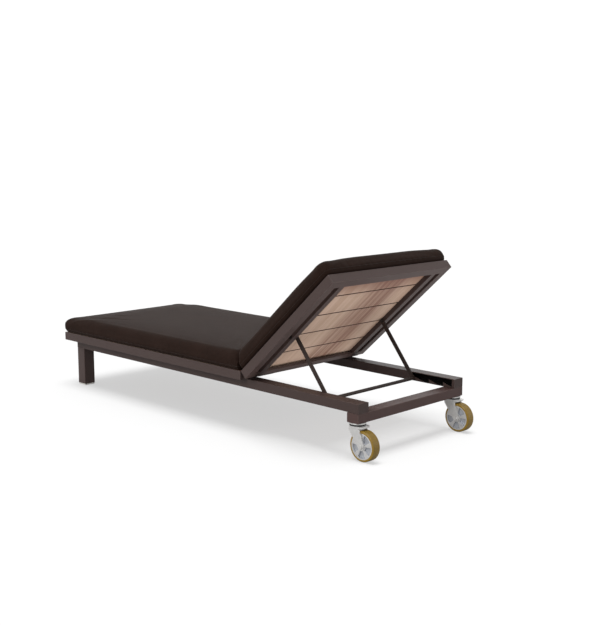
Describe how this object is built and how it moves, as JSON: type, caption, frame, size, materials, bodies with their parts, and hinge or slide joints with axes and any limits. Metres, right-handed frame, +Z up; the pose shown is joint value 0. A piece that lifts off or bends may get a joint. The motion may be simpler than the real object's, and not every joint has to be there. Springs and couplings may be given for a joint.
{
  "type": "sun lounger",
  "caption": "Low reclining sun lounger: wood slats in a metal frame under dark pads, a backrest propped in notches, legs at the foot end and swivel casters at the head end.",
  "frame": {"origin": "on the floor, under the middle of the overall box at rest", "axes": "+X to the head end with the casters, +Y to the right of a person lying on it, +Z up"},
  "size_m": [2.0855, 0.778, 0.7807],
  "materials": {
    "frame_paint": "satin powder coat",
    "prop_paint": "satin powder coat",
    "slat_wood": "oiled, straight grain",
    "pad_fabric": "woven outdoor cloth",
    "zinc_steel": "zinc plated",
    "wheel_cast": "as cast",
    "wheel_tread": "moulded polyurethane",
    "black_rubber": "matt",
    "glide_plastic": "matt"
  },
  "bodies": {
    "base": {"base_rail_left": "frame_paint", "base_rail_right": "frame_paint", "front_leg_left": "frame_paint", "front_leg_right": "frame_paint", "foot_glide_left": "glide_plastic", "foot_glide_right": "glide_plastic", "front_cross_rail": "frame_paint", "rear_cross_rail": "frame_paint", "seat_rail_left": "frame_paint", "seat_rail_right": "frame_paint", "seat_foot_rail": "frame_paint", "seat_rear_rail": "frame_paint", "seat_bar_left": "frame_paint", "seat_bar_right": "frame_paint", "seat_slat_1": "slat_wood", "seat_slat_2": "slat_wood", "seat_slat_3": "slat_wood", "seat_slat_4": "slat_wood", "seat_slat_5": "slat_wood", "seat_slat_6": "slat_wood", "seat_slat_7": "slat_wood", "seat_slat_8": "slat_wood", "seat_slat_9": "slat_wood", "seat_slat_10": "slat_wood", "seat_slat_screws": "zinc_steel", "hinge_seat_leaf_left": "frame_paint", "hinge_seat_leaf_right": "frame_paint", "hinge_pins": "zinc_steel", "seat_pad": "pad_fabric", "caster_flange_left": "zinc_steel", "caster_flange_right": "zinc_steel"},
    "backrest": {"back_rail_left": "frame_paint", "back_rail_right": "frame_paint", "back_top_rail": "frame_paint", "back_bottom_rail": "frame_paint", "back_bar_left": "frame_paint", "back_bar_right": "frame_paint", "back_slat_1": "slat_wood", "back_slat_2": "slat_wood", "back_slat_3": "slat_wood", "back_slat_4": "slat_wood", "back_slat_5": "slat_wood", "back_slat_screws": "zinc_steel", "hinge_back_leaf_left": "frame_paint", "hinge_back_leaf_right": "frame_paint", "back_pad": "pad_fabric", "prop_bolts": "prop_paint"},
    "prop": {"prop_arm_left": "prop_paint", "prop_arm_right": "prop_paint", "prop_bar": "prop_paint"},
    "caster_left": {"caster_seal_left": "black_rubber", "caster_fork_left": "zinc_steel", "caster_axle_left": "zinc_steel"},
    "wheel_left": {"caster_hub_left": "wheel_cast", "caster_tyre_left": "wheel_tread"},
    "caster_right": {"caster_seal_right": "black_rubber", "caster_fork_right": "zinc_steel", "caster_axle_right": "zinc_steel"},
    "wheel_right": {"caster_hub_right": "wheel_cast", "caster_tyre_right": "wheel_tread"}
  },
  "joints": [
    {"name": "back_recline", "type": "hinge", "parent": "base", "child": "backrest", "pos_m": [0.33225, 0, 0.2695], "axis": [0, -1, 0], "range_deg": [-42, 0]},
    {"name": "prop_swing", "type": "hinge", "parent": "backrest", "child": "prop", "pos_m": [0.56434, 0, 0.44215], "axis": [0, -1, 0], "range_deg": [0, 87.68]},
    {"name": "caster_swivel_left", "type": "hinge", "parent": "base", "child": "caster_left", "pos_m": [0.94125, -0.31, 0.1345], "axis": [0, 0, 1], "continuous": true},
    {"name": "wheel_spin_left", "type": "hinge", "parent": "caster_left", "child": "wheel_left", "pos_m": [0.98025, -0.31, 0.0625], "axis": [0, 1, 0], "continuous": true},
    {"name": "caster_swivel_right", "type": "hinge", "parent": "base", "child": "caster_right", "pos_m": [0.94125, 0.31, 0.1345], "axis": [0, 0, 1], "continuous": true},
    {"name": "wheel_spin_right", "type": "hinge", "parent": "caster_right", "child": "wheel_right", "pos_m": [0.98025, 0.31, 0.0625], "axis": [0, 1, 0], "continuous": true}
  ],
  "couplings": [
    {"joint": "prop_swing", "follows": "back_recline", "ratio": -2.0874}
  ]
}
